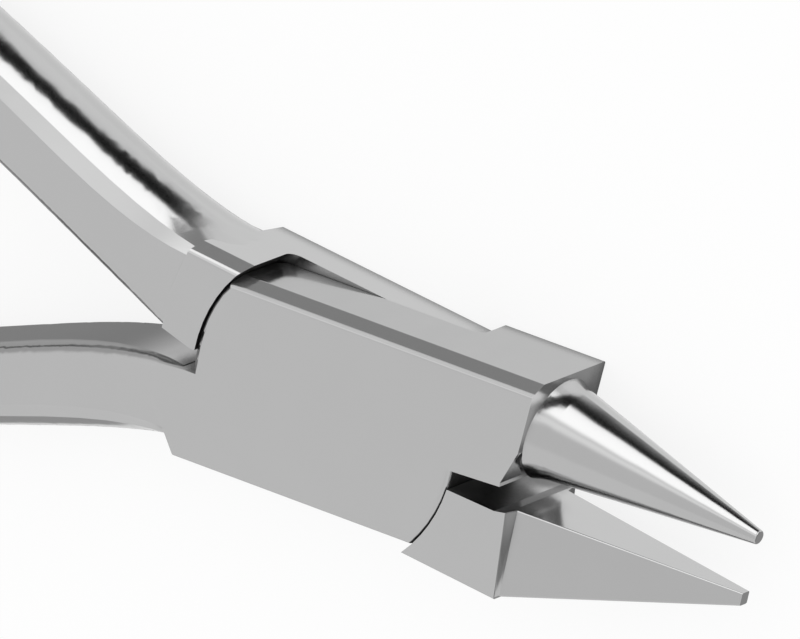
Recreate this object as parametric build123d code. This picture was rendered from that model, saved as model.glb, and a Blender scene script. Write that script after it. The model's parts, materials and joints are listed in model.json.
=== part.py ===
from build123d import *
import os
from math import atan2, cos, degrees, hypot, radians, sin, tan

# Bird-beak pliers for bending orthodontic wire: two forged halves lapped at the head
# and held by one rivet. One beak is a round cone, the other a four-sided pyramid.
# The pliers lie on their back face. The origin is on the pivot axis at that face,
# +X points to the beaks and +Z is the pivot axis. Lengths are in millimetres.
# Both halves are drawn with the beaks closed and then turned about the pivot to rest.

# How far the beaks are open at rest, in degrees, shared by the two halves
rest_opening = 6.1

# Head: the block round the pivot, with a front lap on the cone half and a back lap on the other
head_half_width = 5.9
head_thickness = 7.0
back_lap = 2.45
lap_gap = 0.03
shoulder_radius = 9.2
shoulder_gap = 0.05
bevel_width = 0.55
bevel_height = 0.95
bevel_blend = 0.4
head_edge = 0.14
head_front = 14.05
head_back = 11.7
cone_lap_corner = (9.8, 2.9)
pyramid_lap_corner = (9.45, 2.9)
far_side_corner = (11.0, 3.5)
lap_edge = 0.32
lap_root_edge = 0.7
shoulder_root_blend = 0.6

# Line on which the closed beaks meet: it drops below the head's axis towards the pivot
tip_reach = 27.85
mating_drop = 0.55
closed_gap = 0.03

# Cone beak
cone_longer = 0.25
cone_root_radius = 2.98
cone_tip_radius = 0.42
cone_tip_edge = 0.12
cone_flare = 0.15
cone_flare_reach = 1.2
cone_sunk = 1.1
root_inset = 0.45
shoulder_depth = 3.0
end_cut = ((12.5, -0.5), (13.57, 1.87))

# Pyramid beak
pyramid_end = 13.3
pyramid_slant = 5.4
pyramid_sunk = 0.05
relief_depth = 0.2
relief_ramp = 0.75
pyramid_root_inner = 5.1
pyramid_root_outer = 6.4
pyramid_root_depth = 5.15
pyramid_tip_width = 0.7
pyramid_tip_depth = 0.8
pyramid_edge = 0.1
pyramid_flare_inner = 6.8
pyramid_flare_outer = 6.85
pyramid_flare_depth = 5.3
pyramid_flare_reach = 0.15

# Crotch between the handles, just behind the round shoulders
cone_crotch = 0.6
cone_crotch_back = 0.75
pyramid_crotch = 0.2
pyramid_crotch_back = -0.17
pyramid_handle_crotch = 0.35
crotch_reach = 9.7

# Handles: the inner edge of each runs straight, then in one long bow, then straight to the end
handle_angle = 18.65
handle_start = 10.6
handle_start_offset = 0.6
handle_straight = 20.0
handle_bow_radius = 140.0
handle_end_angle = -3.5
handle_tail = 17.0
handle_neck = 5.2
handle_width_root = 6.75
handle_width_neck = 6.0
handle_width_waist = 5.42
handle_width_grip = 5.0
handle_width_end = 4.6
cone_handle_share = 0.9
handle_height_root = 6.85
handle_height_end = 5.8

# Handle section, as shares of its width and height: front land, facet, side, belly, heel and back land
root_shares = ((0.91, 1.0), (0.95, 0.96), (0.98, 0.84), (1.0, 0.5), (1.0, 0.17), (0.97, 0.0))
neck_shares = ((0.715, 1.0), (0.845, 0.93), (0.972, 0.74), (1.0, 0.53), (0.87, 0.17), (0.6, 0.0))
grip_shares = ((0.69, 1.0), (0.83, 0.915), (0.972, 0.73), (1.0, 0.53), (0.86, 0.17), (0.57, 0.0))
handle_root_edge = 0.5
handle_inner_edge = 1.1
handle_end_round = 1.3
handle_end_turns = (45, 75)

# Pivot rivet: fixed in the cone half, with its head flush in the back face
rivet_radius = 1.8
rivet_reach = 5.6
rivet_running_gap = 0.03
rivet_head_radius = 2.8
rivet_head_height = 0.9

mating_slope = atan2(mating_drop, tip_reach - head_front)
cone_reach = tip_reach + cone_longer
front_lap_level = back_lap + lap_gap
room = 30.0


def mating_y(x):
    """Height of the line on which the closed beaks meet, at a distance x from the pivot."""
    return (x - tip_reach) * tan(mating_slope)


def corner_near(face, x, y):
    """The corner of a flat outline that lies nearest to a point."""
    return face.vertices().sort_by_distance((x, y, 0))[0]


def plan(points, low=0.0, high=head_thickness):
    """A closed outline seen from above, as a solid between two levels."""
    return Pos(0, 0, low) * extrude(make_face(Polyline(*points, close=True)), high - low)


def disc(radius, low, high):
    """A round disc on the pivot axis, between two levels."""
    return Pos(0, 0, low) * Cylinder(radius, high - low, align=(Align.CENTER, Align.CENTER, Align.MIN))


def front_lap():
    """The cone half's round lap, with its front rim rounded and more room left at its back rim."""
    lap = disc(shoulder_radius, front_lap_level, head_thickness)
    lap = fillet(lap.faces().sort_by(Axis.Z)[-1].edges(), lap_edge)
    return fillet(lap.faces().sort_by(Axis.Z)[0].edges(), lap_root_edge)


def front_lap_room():
    """What the pyramid half leaves free for the front lap, with a hollow corner at its floor."""
    space = disc(shoulder_radius + shoulder_gap, back_lap, head_thickness + 1)
    return fillet(space.faces().sort_by(Axis.Z)[0].edges(), shoulder_root_blend)


def back_lap_disc():
    """The pyramid half's round lap, with more room left at its front rim."""
    lap = disc(shoulder_radius, 0, back_lap)
    return fillet(lap.faces().sort_by(Axis.Z)[-1].edges(), lap_root_edge)


def back_lap_room():
    """What the cone half leaves free for the back lap, with a hollow corner at its ceiling."""
    space = disc(shoulder_radius + shoulder_gap, -1, front_lap_level)
    return fillet(space.faces().sort_by(Axis.Z)[-1].edges(), shoulder_root_blend)


def head_bar():
    """Bar along X with the head's section: a wide bevel at the top front and one at the bottom back."""
    half = head_half_width
    top = head_thickness
    bevels = [(half - bevel_width, top), (bevel_width - half, 0)]
    others = [(half, top - bevel_height), (half, 0), (-half, bevel_height), (-half, top)]
    section = make_face(Polyline(bevels[0], others[0], others[1], bevels[1], others[2], others[3], close=True))
    for corner in bevels:
        section = fillet(corner_near(section, *corner), bevel_blend)
    for corner in others:
        section = fillet(corner_near(section, *corner), head_edge)
    return extrude(Plane.YZ * section, room, both=True)


def handle_shoulder(crotch, crotch_back, side, low_corner, high_corner):
    """Shoulder behind the round lap, at the side of +Y or -Y, with its outer corner cut back."""
    ends = []
    edge = side * head_half_width
    for level, (corner, drop) in ((0, low_corner), (head_thickness, high_corner)):
        outline = [
            (0, crotch),
            (-crotch_reach, crotch),
            (-head_back, crotch_back),
            (-head_back, edge - side * drop),
            (-corner, edge),
            (0, edge),
        ]
        ends.append(Pos(0, 0, level) * make_face(Polyline(*outline, close=True)))
    return loft(ends, ruled=True)


def cone_shoulders():
    """Outline of the cone half outside the round lap: beak side in front, handle side behind."""
    top = 2 * head_half_width
    beak_end = head_front - shoulder_depth / 2
    beak_side = [(0, mating_y(0)), (beak_end, mating_y(beak_end)), (beak_end, top), (0, top)]
    return plan(beak_side) + handle_shoulder(-cone_crotch, -cone_crotch_back, -1, far_side_corner, cone_lap_corner)


def pyramid_shoulders():
    """The same for the pyramid half: its inner side is relieved until just before the beak."""
    bottom = -2 * head_half_width
    relief_end = pyramid_end - relief_ramp
    beak_side = [
        (0, mating_y(0) - relief_depth),
        (relief_end, mating_y(relief_end) - relief_depth),
        (pyramid_end, mating_y(pyramid_end) - closed_gap),
        (pyramid_end - bottom * tan(radians(pyramid_slant)), bottom),
        (0, bottom),
    ]
    rear = handle_shoulder(-pyramid_crotch, -pyramid_crotch_back, 1, pyramid_lap_corner, far_side_corner)
    return plan(beak_side) + rear


def cone_place():
    """The cone's root circle on its own axis, which points at the tip."""
    root_x = head_front - root_inset
    root_y = mating_y(root_x) + closed_gap + cone_root_radius
    drop = root_y - closed_gap - cone_tip_radius
    length = hypot(cone_reach - root_x, drop)
    tilt = degrees(atan2(drop, cone_reach - root_x))
    return Pos(root_x, root_y, head_thickness / 2) * Rot(0, 0, -tilt), length


def cone_beak():
    """Cone with a slight flare at its root, sunk into the head."""
    place, length = cone_place()
    taper = (cone_root_radius - cone_tip_radius) / length
    sunk_radius = cone_root_radius + cone_sunk * taper
    joined = (cone_flare_reach, cone_root_radius - cone_flare_reach * taper)
    flared = (0, cone_root_radius + cone_flare)
    tip = (length, cone_tip_radius)
    sunk = [(-cone_sunk, 0), (-cone_sunk, sunk_radius), (0, cone_root_radius)]
    sides = Polyline(joined, tip, (length, 0), *sunk, flared)
    profile = make_face(sides + TangentArc(joined, flared, tangent=(-1, taper)))
    profile = fillet(corner_near(profile, *tip), cone_tip_edge)
    return place * revolve(profile, Axis.X, 360)


def head_end():
    """End of the head round the cone: flat across the cone's axis, then cut back towards the other beak."""
    place, length = cone_place()
    wide = 2 * head_half_width
    flat = place * Box(shoulder_depth, 2 * wide, 2 * wide, align=(Align.MAX, Align.CENTER, Align.CENTER))
    back = head_front - shoulder_depth
    kept = plan([(back, end_cut[0][1]), end_cut[0], end_cut[1], (head_front + 1, wide), (back, wide)])
    return flat & kept


def below_mating_line():
    """Everything under the line on which the closed beaks meet, from the pivot to the cone's root."""
    end = head_front + 1
    return plan([(0, mating_y(0)), (end, mating_y(end)), (end, -room), (0, -room)], -1, head_thickness + 1)


def pyramid_section(x, slant, inner, outer, depth):
    """Section of the pyramid at x: a narrow flat on the mating side and a wider back."""
    top = mating_y(x) - closed_gap
    low = top - depth
    corners = [(top, -inner / 2), (top, inner / 2), (low, outer / 2), (low, -outer / 2)]
    section = make_face(Polyline(*corners, close=True))
    section = fillet(section.vertices(), pyramid_edge)
    across = (-sin(radians(slant)), cos(radians(slant)), 0)
    forward = (cos(radians(slant)), sin(radians(slant)), 0)
    return Plane(origin=(x, 0, head_thickness / 2), x_dir=across, z_dir=forward) * section


def pyramid_beak():
    """Four-sided beak that runs straight from the head to a small flat tip."""
    start = pyramid_end - pyramid_sunk
    neck = pyramid_end + pyramid_flare_reach
    flare = pyramid_section(start, pyramid_slant, pyramid_flare_inner, pyramid_flare_outer, pyramid_flare_depth)
    root = pyramid_section(neck, pyramid_slant, pyramid_root_inner, pyramid_root_outer, pyramid_root_depth)
    tip = pyramid_section(tip_reach, 0, pyramid_tip_width, pyramid_tip_width, pyramid_tip_depth)
    return loft([flare, root, tip], ruled=True)


def handle_section(place, heading, width, height, shares, edge):
    """Section across the handle: flat inner side with soft edges, flat lands, round outer side."""
    front, facet, side, belly, heel, back = [(width * across, height * up) for across, up in shares]
    flats = Polyline(back, (0, 0), (0, height), front, facet)
    section = make_face(flats + ThreePointArc(facet, side, belly) + ThreePointArc(belly, heel, back))
    for corner in ((0, 0), (0, height)):
        section = fillet(corner_near(section, *corner), edge)
    outward = Vector(sin(radians(heading)), cos(radians(heading)), 0)
    forward = Vector(cos(radians(heading)), -sin(radians(heading)), 0)
    return Plane(origin=(place[0], place[1], 0), x_dir=outward, z_dir=forward) * section


def handle(width_share, crotch):
    """A handle on the side of +Y, lofted along its inner edge from the crotch backwards."""
    bow = radians(handle_angle - handle_end_angle) * handle_bow_radius
    total = handle_straight + bow + handle_tail
    x = -handle_start
    y = -handle_start_offset
    stations = []
    steps = [
        (0.0, 0.0, handle_width_root, root_shares),
        (handle_neck, 0.0, handle_width_neck, neck_shares),
        (handle_straight, 0.0, handle_width_waist, grip_shares),
        (handle_straight + bow / 3, 1 / 3, handle_width_grip, grip_shares),
        (handle_straight + 2 * bow / 3, 2 / 3, handle_width_grip, grip_shares),
        (handle_straight + bow, 1.0, handle_width_grip, grip_shares),
        (total, 1.0, handle_width_end, grip_shares),
    ]
    travelled = 0.0
    angle = handle_angle
    for reach, turn, width, shares in steps:
        new_angle = handle_angle + (handle_end_angle - handle_angle) * turn
        middle = radians((angle + new_angle) / 2)
        x -= (reach - travelled) * cos(middle)
        y += (reach - travelled) * sin(middle)
        travelled = reach
        angle = new_angle
        height = handle_height_root + (handle_height_end - handle_height_root) * reach / total
        lift = (crotch + handle_start_offset) / cos(radians(angle)) if reach == 0 else 0
        place = (x + lift * sin(radians(angle)), y + lift * cos(radians(angle)))
        edge = handle_root_edge if reach == 0 else handle_inner_edge
        stations.append(handle_section(place, angle, width * width_share - lift, height, shares, edge))
    cap = [stations[-1]]
    for turn in handle_end_turns:
        reach = handle_end_round * sin(radians(turn))
        inset = handle_end_round * (1 - cos(radians(turn)))
        along = reach * cos(radians(angle)) - inset * sin(radians(angle))
        aside = reach * sin(radians(angle)) + inset * cos(radians(angle))
        place = (x - along, y + aside)
        narrowed = width * width_share - 2 * inset
        smaller = handle_section(place, angle, narrowed, height - 2 * inset, shares, edge)
        cap.append(Pos(0, 0, inset) * smaller)
    return loft(stations) + loft(cap)


def rivet_shape(radius_gap, bore_end):
    """The rivet, or with a gap the room that it turns in: a shank and a flush conical head."""
    radius = rivet_radius + radius_gap
    head = rivet_head_radius + radius_gap
    outline = [(0, 0), (head, 0), (radius, rivet_head_height), (radius, bore_end), (0, bore_end)]
    return revolve(Plane.XZ * make_face(Polyline(*outline, close=True)), Axis.Z, 360)


def cone_half():
    """Front lap, cone beak and lower handle."""
    bar = head_bar()
    half = (front_lap() + (cone_shoulders() + head_end() - back_lap_room())) & bar
    half += cone_beak() - below_mating_line()
    half += mirror(handle(cone_handle_share, cone_crotch), Plane.XZ)
    half -= rivet_shape(0, rivet_reach)
    return half


def pyramid_half():
    """Back lap, pyramid beak and upper handle."""
    bar = head_bar()
    half = (back_lap_disc() + (pyramid_shoulders() - front_lap_room())) & bar
    half += pyramid_beak()
    half += handle(1, -pyramid_handle_crotch)
    half -= rivet_shape(rivet_running_gap, head_thickness)
    return half


def parts():
    """Every piece at rest, by name."""
    turn = rest_opening / 2
    return {
        "cone_beak_half": Rot(0, 0, turn) * cone_half(),
        "pyramid_beak_half": Rot(0, 0, -turn) * pyramid_half(),
        "pivot_rivet": Rot(0, 0, turn) * rivet_shape(0, rivet_reach),
    }


os.makedirs("parts", exist_ok=True)
for name, shape in parts().items():
    export_step(shape, f"parts/{name}.step")
    print(name, round(shape.volume, 3), len(shape.solids()))
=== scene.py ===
import json

import bpy
from mathutils import Matrix, Vector

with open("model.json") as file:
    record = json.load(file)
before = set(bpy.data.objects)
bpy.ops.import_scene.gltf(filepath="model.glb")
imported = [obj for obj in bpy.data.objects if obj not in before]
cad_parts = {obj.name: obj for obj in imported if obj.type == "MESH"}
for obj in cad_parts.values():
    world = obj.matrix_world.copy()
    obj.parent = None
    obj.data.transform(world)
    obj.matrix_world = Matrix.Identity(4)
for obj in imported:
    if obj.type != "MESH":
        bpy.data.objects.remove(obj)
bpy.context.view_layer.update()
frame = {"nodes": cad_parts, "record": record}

# Bird-beak pliers in polished steel, lying on a pale floor in a bright studio.
# The three CAD pieces keep their shapes; this script gives them their steel, the light and the camera.
# Lengths in the dictionaries are in millimetres.
mm = 0.001


class Value:                            # an output socket: arithmetic on it adds the Math nodes
    def __init__(self, tree, socket):
        self.tree = tree
        self.socket = socket

    def math(self, operation, other):
        return self.tree.node("ShaderNodeMath", {"operation": operation}, {0: self, 1: other})

    def __add__(self, other):
        return self.math("ADD", other)

    def __sub__(self, other):
        return self.math("SUBTRACT", other)

    def __rsub__(self, other):
        return self * -1.0 + other

    def __mul__(self, other):
        return self.math("MULTIPLY", other)

    __radd__ = __add__
    __rmul__ = __mul__

    def rise(self, low, high):          # 0 below low, 1 above high, smooth between
        return self.tree.node("ShaderNodeMapRange", {"interpolation_type": "SMOOTHSTEP"},
                              {"Value": self, "From Min": low, "From Max": high})

    def output(self, name):             # another output of the same node
        return Value(self.tree, self.socket.node.outputs[name])


class Tree:                             # a node tree, emptied and ready to fill
    def __init__(self, owner):
        owner.use_nodes = True
        self.nodes = owner.node_tree.nodes
        self.links = owner.node_tree.links
        self.nodes.clear()

    def node(self, kind, settings={}, sockets={}):
        made = self.nodes.new(kind)
        for name, value in settings.items():
            setattr(made, name, value)
        for name, value in sockets.items():
            if isinstance(value, Value):
                self.links.new(value.socket, made.inputs[name])
            else:
                made.inputs[name].default_value = value
        return Value(self, made.outputs[0]) if made.outputs else None


def blend(low, high, share):            # low where share is 0, high where it is 1
    return low + (high - low) * share


print("camera")
# A very long lens in front of the beaks and above them, rolled so that the beaks point right and down
view = {
    "right": (0.79898, 0.16266, -0.57894),
    "up": (-0.34542, 0.91220, -0.22041),
    "middle": (2.393, 4.437),           # of the picture, along right and up, from the pivot at half height
    "halfHeight": 3.5,
    "away": 1521.6,
    "lens": 1200.0,
    "sensor": 36.0,
    "clip": (10.0, 9000.0),
}


def aimCamera(look):
    right = Vector(look["right"]).normalized()
    up = Vector(look["up"])
    up = (up - right * up.dot(right)).normalized()
    back = right.cross(up)
    across, upward = look["middle"]
    place = right * across + up * upward + back * look["away"] + Vector((0, 0, look["halfHeight"]))
    lens = bpy.data.cameras.new("camera")
    lens.sensor_width = look["sensor"]
    lens.lens = look["lens"]
    lens.clip_start, lens.clip_end = (reach * mm for reach in look["clip"])
    camera = bpy.data.objects.new("camera", lens)
    camera.matrix_world = Matrix.Translation(place * mm) @ Matrix((right, up, back)).transposed().to_4x4()
    bpy.context.scene.collection.objects.link(camera)
    bpy.context.scene.camera = camera


aimCamera(view)

print("studio")
# What the polished steel mirrors: one even level all round, and over it cards, each from low to high
# along the x, y and z of the direction looked in. Later cards cover earlier ones. A tilted card
# climbs with x.
studio = {
    "level": 0.80,
    "soft": 0.05,                       # half the width of a card's soft edge
    "open": (-2.0, 2.0),                # a card without a limit on that axis
    "cards": {
        "above": {"bright": 0.73, "z": (0.87, 2.0), "soft": 0.04},
        "table": {"bright": 0.37, "z": (-2.0, -0.42)},
        "tableFar": {"bright": 0.92, "x": (-0.56, 2.0), "y": (0.18, 2.0), "z": (-2.0, -0.40), "soft": 0.10},
        "tableLeft": {"bright": 0.80, "x": (-2.0, -0.20), "y": (-2.0, -0.42), "z": (-2.0, -0.52)},
        "tableSide": {"bright": 0.27, "x": (-2.0, -0.54), "y": (-0.35, 0.15), "z": (-0.84, -0.42)},
        "tableBelow": {"bright": 0.85, "x": (-2.0, -0.10), "z": (-2.0, -0.85), "soft": 0.03},
        "nearWall": {"bright": 0.80, "y": (-2.0, -0.50), "z": (-0.20, 0.12)},
        "nearGap": {"bright": 0.40, "y": (-2.0, -0.50), "z": (-0.58, -0.24)},
        "rightWall": {"bright": 0.28, "x": (0.60, 2.0), "z": (-0.70, 0.20), "soft": 0.15},
        "leftWall": {"bright": 0.50, "x": (-2.0, -0.62), "y": (0.08, 2.0), "z": (-0.66, 0.40), "soft": 0.12},
        "leftGap": {"bright": 0.20, "x": (-2.0, -0.65), "y": (-0.6, 0.10), "z": (-0.35, 0.42)},
        "farCard": {"bright": 1.66, "x": (-0.48, 2.0), "y": (0.38, 2.0), "z": (-0.12, 0.68), "soft": 0.10},
        "farGlow": {"bright": 1.10, "x": (-0.62, 2.0), "y": (0.20, 2.0), "z": (0.76, 0.90)},
        "farWall": {"bright": 0.33, "x": (-0.68, -0.19), "y": (0.50, 2.0), "z": (-0.33, 0.10)},
        "farGap": {"bright": 0.0, "x": (-0.19, 2.0), "y": (0.50, 2.0), "z": (-0.38, 0.14), "tilt": 1.85,
                   "soft": 0.04},
    },
}
pureWhite = 1.0                         # strength of plain light, and of white where the camera sees it
floorLook = {
    "side": 3000.0,                     # half a side
    "colour": 0.95,
    "lift": 0.85,                       # share of the floor that the camera sees as plain white
}


def hangCards(look):
    world = bpy.data.worlds.new("studio")
    bpy.context.scene.world = world
    tree = Tree(world)
    direction = tree.node("ShaderNodeTexCoord").output("Generated")
    across = tree.node("ShaderNodeSeparateXYZ", {}, {0: direction})
    away, height = across.output("Y"), across.output("Z")
    lowest, highest = look["open"]
    mirrored = look["level"]
    for card in look["cards"].values():
        soft = card.get("soft", look["soft"])
        climb = height - across * card["tilt"] if "tilt" in card else height
        share = 1.0
        for axis, place in (("x", across), ("y", away), ("z", climb)):
            low, high = card.get(axis, look["open"])
            if low > lowest:
                share = share * place.rise(low - soft, low + soft)
            if high < highest:
                share = share * (1.0 - place.rise(high - soft, high + soft))
        mirrored = blend(mirrored, card["bright"], share)
    isGlossy = tree.node("ShaderNodeLightPath").output("Is Glossy Ray")
    light = tree.node("ShaderNodeBackground", {},
                      {"Color": (1, 1, 1, 1), "Strength": blend(pureWhite, mirrored, isGlossy)})
    tree.node("ShaderNodeOutputWorld", {}, {"Surface": light})


def layFloor(look):
    side = look["side"] * mm
    corners = [(-side, -side, 0), (side, -side, 0), (side, side, 0), (-side, side, 0)]
    mesh = bpy.data.meshes.new("floor")
    mesh.from_pydata(corners, [], [(0, 1, 2, 3)])
    paint = bpy.data.materials.new("floorPaint")
    tree = Tree(paint)
    matt = tree.node("ShaderNodeBsdfDiffuse", {}, {"Color": (look["colour"],) * 3 + (1,)})
    white = tree.node("ShaderNodeEmission", {}, {"Strength": pureWhite})
    seen = tree.node("ShaderNodeLightPath").output("Is Camera Ray") * look["lift"]
    both = tree.node("ShaderNodeMixShader", {}, {0: seen, 1: matt, 2: white})
    tree.node("ShaderNodeOutputMaterial", {}, {"Surface": both})
    mesh.materials.append(paint)
    floor = bpy.data.objects.new("floor", mesh)
    floor.visible_glossy = False        # the steel mirrors the cards, also downwards
    bpy.context.scene.collection.objects.link(floor)


bpy.context.scene.view_settings.view_transform = "Standard"
hangCards(studio)
layFloor(floorLook)

print("steel")
# Satin-polished stainless steel of the two halves
satinSteel = {
    "colour": 0.58,
    "roughness": 0.14,
    "clouds": 0.02,                     # how much the colour and the roughness wander from place to place
    "cloudsSize": 4.0,
    "cloudsDetail": 4.0,
    "grain": 0.02,                      # how much the roughness changes with the grain
    "grainSize": 0.11,
    "grainDetail": 3.0,
    "grainBump": 0.03,
    "grainDepth": 0.02,
    "rippleSize": 3.0,                  # the hand-polished faces are a little uneven
    "rippleDetail": 1.0,
    "rippleBump": 0.012,
    "rippleDepth": 1.0,
    "edgeWidth": 0.09,                  # worn, shinier edges
    "edgeWear": 0.06,
    "edgeRise": (0.03, 0.20),           # no wear below the first sharpness, all of it above the second
    "edgeSamples": 6,
    "creaseReach": 2.0,                 # painted shade: colour darkened and roughness raised in creases and in the joint, where little light reaches
    "creaseRise": (0.22, 0.58),         # none below the first closeness, all of it above the second
    "creaseSamples": 8,
    "creaseShadeColour": 0.20,
    "creaseRoughness": 0.38,
}
# The rivet, turned and ground flush with the back of the head
groundSteel = dict(satinSteel, colour=0.54, roughness=0.22, grain=0.05)
groundSteel.update(ringSize=0.16, ringBump=0.10, ringDepth=0.02)
noiseMiddle = 0.5                       # a noise swings about this


def paintSteel(name, look):
    material = bpy.data.materials.new(name)
    tree = Tree(material)
    place = tree.node("ShaderNodeTexCoord").output("Object")

    def noise(kind):
        size, detail = look[kind + "Size"] * mm, look[kind + "Detail"]
        return tree.node("ShaderNodeTexNoise", {}, {"Vector": place, "Scale": 1 / size, "Detail": detail})

    def bump(height, kind, **under):    # one height over the bump under it
        sockets = {"Height": height, "Strength": look[kind + "Bump"], "Distance": look[kind + "Depth"] * mm}
        return tree.node("ShaderNodeBump", {}, {**sockets, **under})

    clouds, grain, ripple = noise("clouds"), noise("grain"), noise("ripple")
    # Painted shade: the ambient occlusion finds creases and the joint between the parts, and there the
    # colour is darkened
    openness = tree.node("ShaderNodeAmbientOcclusion", {"samples": look["creaseSamples"]},
                         {"Distance": look["creaseReach"] * mm}).output("AO")
    creaseShade = (1.0 - openness).rise(*look["creaseRise"])
    # An edge is where the normal of the rounded shape turns away from the face's own
    rounded = tree.node("ShaderNodeBevel", {"samples": look["edgeSamples"]},
                        {"Radius": look["edgeWidth"] * mm})
    flat = tree.node("ShaderNodeNewGeometry").output("Normal")
    alike = tree.node("ShaderNodeVectorMath", {"operation": "DOT_PRODUCT"}, {0: rounded, 1: flat})
    alike = alike.output("Value")
    edge = (1.0 - alike).rise(*look["edgeRise"]) * (1.0 - creaseShade)

    wander = (clouds - noiseMiddle) * look["clouds"]
    # in creases the colour goes to the painted shade colour
    bright = blend(look["colour"] + wander + edge * look["edgeWear"], look["creaseShadeColour"], creaseShade)
    colour = tree.node("ShaderNodeCombineColor", {}, {0: bright, 1: bright, 2: bright})
    roughness = look["roughness"] + wander + (grain - noiseMiddle) * look["grain"]
    roughness = blend(roughness, look["creaseRoughness"], creaseShade)

    surface = bump(ripple, "ripple")
    surface = bump(grain, "grain", Normal=surface)
    if "ringSize" in look:              # turning marks
        rings = tree.node("ShaderNodeTexWave", {"wave_type": "RINGS", "rings_direction": "Z"},
                          {"Vector": place, "Scale": 1 / (look["ringSize"] * mm)}).output("Fac")
        surface = bump(rings, "ring", Normal=surface)

    shader = tree.node("ShaderNodeBsdfPrincipled", {},
                       {"Base Color": colour, "Metallic": 1.0, "Roughness": roughness, "Normal": surface})
    tree.node("ShaderNodeOutputMaterial", {}, {"Surface": shader})
    return material


paints = {
    "satin_steel": paintSteel("satinSteel", satinSteel),
    "rivet_steel": paintSteel("groundSteel", groundSteel),
}
for part in frame["record"]["subparts"]:
    slots = frame["nodes"][part["node"]].data.materials
    slots.clear()
    slots.append(paints[part["material_slot"]])

print("done")
